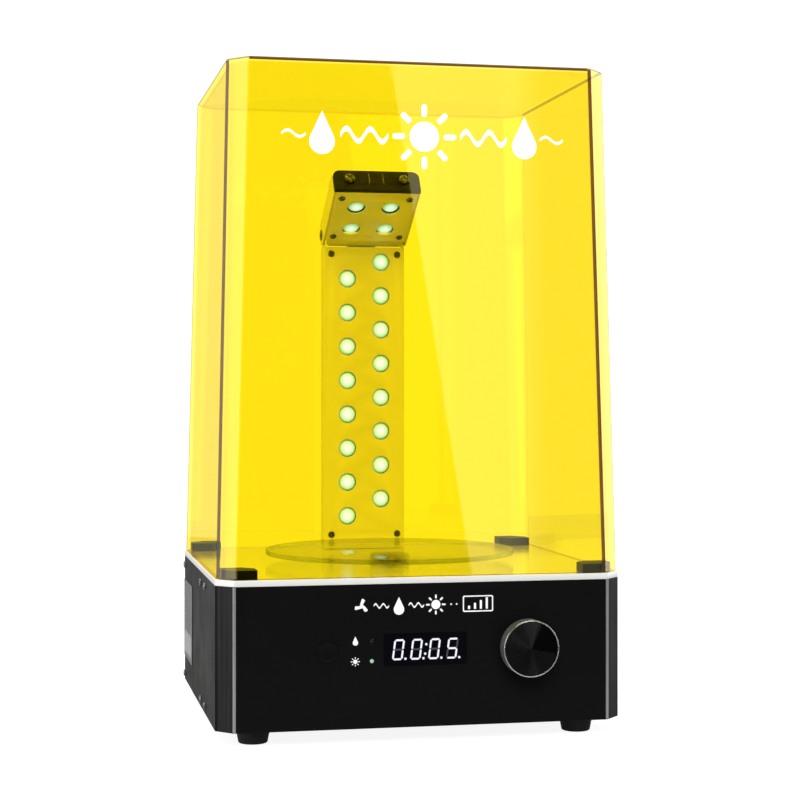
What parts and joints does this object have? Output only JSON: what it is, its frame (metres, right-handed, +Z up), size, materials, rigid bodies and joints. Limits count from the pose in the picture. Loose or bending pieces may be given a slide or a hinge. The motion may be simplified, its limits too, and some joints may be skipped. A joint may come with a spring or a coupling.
{
  "type": "uv curing lamp",
  "caption": "Tabletop resin-print curing machine: black housing with knob and display, clear turntable, upright LED column with a tilting lamp head, and a lift-off transparent yellow cover.",
  "frame": {"origin": "centre of the machine's overall footprint, on the surface it stands on", "axes": "+Z up, the control panel faces -Y, +X is to the right of someone facing the panel"},
  "size_m": [0.2952, 0.2802, 0.4788],
  "materials": {
    "housing_black": "fine matt powder coat",
    "fascia_black": "polished smoked acrylic",
    "deck_bright": "polished, bevelled edge",
    "sheet_steel": "zinc plated sheet",
    "lamp_metal": "fine satin sheet",
    "rubber_black": "moulded, matt",
    "screw_black": "black zinc",
    "plastic_black": "fine moulded texture",
    "label_grey": "satin film",
    "board_green": "solder mask",
    "board_white": "white solder mask",
    "steel_plain": "machined",
    "brass": "turned",
    "coupling_metal": "turned",
    "wire_black": "braided sleeve",
    "clear_acrylic": "polished clear acrylic",
    "lamp_lens": "clear moulded lens, lit",
    "cover_yellow": "transparent yellow acrylic, polished",
    "knob_black": "black anodised, radially spun face",
    "chrome_ring": "polished",
    "button_black": "dished, satin"
  },
  "bodies": {
    "base": {"bottom_plate": "housing_black", "foot_front_left": "rubber_black", "foot_front_right": "rubber_black", "foot_rear_left": "rubber_black", "foot_rear_right": "rubber_black", "side_panel_left": "housing_black", "side_panel_right": "housing_black", "side_screw_left": "screw_black", "side_screw_right": "screw_black", "corner_block_front_left": "plastic_black", "corner_block_front_right": "plastic_black", "corner_block_rear_left": "plastic_black", "corner_block_rear_right": "plastic_black", "fascia_panel": "fascia_black", "front_frame": "sheet_steel", "rear_panel": "housing_black", "top_deck": "deck_bright", "rating_plate": "label_grey", "cover_sensor": "board_green", "power_inlet": "plastic_black", "switch_frame": "plastic_black", "encoder_body": "steel_plain", "mode_switch": "plastic_black", "indicator_guide": "clear_acrylic", "display_module": "fascia_black", "front_board": "board_green", "main_board": "board_green", "board_tray": "plastic_black", "panel_harness": "wire_black", "lamp_harness": "wire_black", "deck_bearing": "brass", "drive_motor": "steel_plain", "motor_gearbox": "steel_plain", "motor_bracket": "sheet_steel", "column_channel": "lamp_metal", "column_plate": "lamp_metal", "column_led_board": "board_white", "column_lenses": "lamp_lens", "hinge_bolt_left": "screw_black", "hinge_bolt_right": "screw_black"},
    "cover": {"cover_shell": "cover_yellow"},
    "turntable_drive": {"gearbox_output_shaft": "steel_plain", "shaft_coupling": "coupling_metal", "drive_shaft": "steel_plain"},
    "turntable": {"turntable_disc": "clear_acrylic", "turntable_hub": "clear_acrylic"},
    "lamp_head": {"head_shell": "lamp_metal", "head_plate": "lamp_metal", "head_led_board": "board_white", "head_lenses": "lamp_lens", "head_end_cap": "plastic_black", "end_cap_screw_left": "screw_black", "end_cap_screw_right": "screw_black"},
    "encoder_push": {"encoder_plunger": "brass"},
    "knob": {"knob_body": "knob_black", "knob_ring": "chrome_ring", "encoder_shaft": "steel_plain"},
    "mode_button": {"mode_button": "button_black"},
    "power_rocker": {"power_rocker": "plastic_black"}
  },
  "joints": [
    {"name": "cover_lift", "type": "slide", "parent": "base", "child": "cover", "axis": [0, 0, 1], "range_m": [0, 0.4]},
    {"name": "turntable_spin", "type": "hinge", "parent": "base", "child": "turntable_drive", "pos_m": [0, 0.0005, 0.116], "axis": [0, 0, 1], "continuous": true},
    {"name": "turntable_lift", "type": "slide", "parent": "turntable_drive", "child": "turntable", "axis": [0, 0, 1], "range_m": [0, 0.12]},
    {"name": "head_tilt", "type": "hinge", "parent": "base", "child": "lamp_head", "pos_m": [0, 0.1104, 0.3742], "axis": [-1, 0, 0], "range_deg": [-32.6, 57.4]},
    {"name": "knob_push", "type": "slide", "parent": "base", "child": "encoder_push", "axis": [0, 1, 0], "range_m": [0, 0.0008], "stiffness_N_per_m": 1500, "springref_m": -0.0005},
    {"name": "knob_turn", "type": "hinge", "parent": "encoder_push", "child": "knob", "pos_m": [0.0735, -0.1245, 0.0655], "axis": [0, 1, 0], "continuous": true},
    {"name": "mode_button_press", "type": "slide", "parent": "base", "child": "mode_button", "axis": [0, 1, 0], "range_m": [0, 0.0008], "stiffness_N_per_m": 1000, "springref_m": -0.0005},
    {"name": "power_rocker_tilt", "type": "hinge", "parent": "base", "child": "power_rocker", "pos_m": [-0.06, 0.135, 0.051], "axis": [1, 0, 0], "range_deg": [0, 14]}
  ]
}
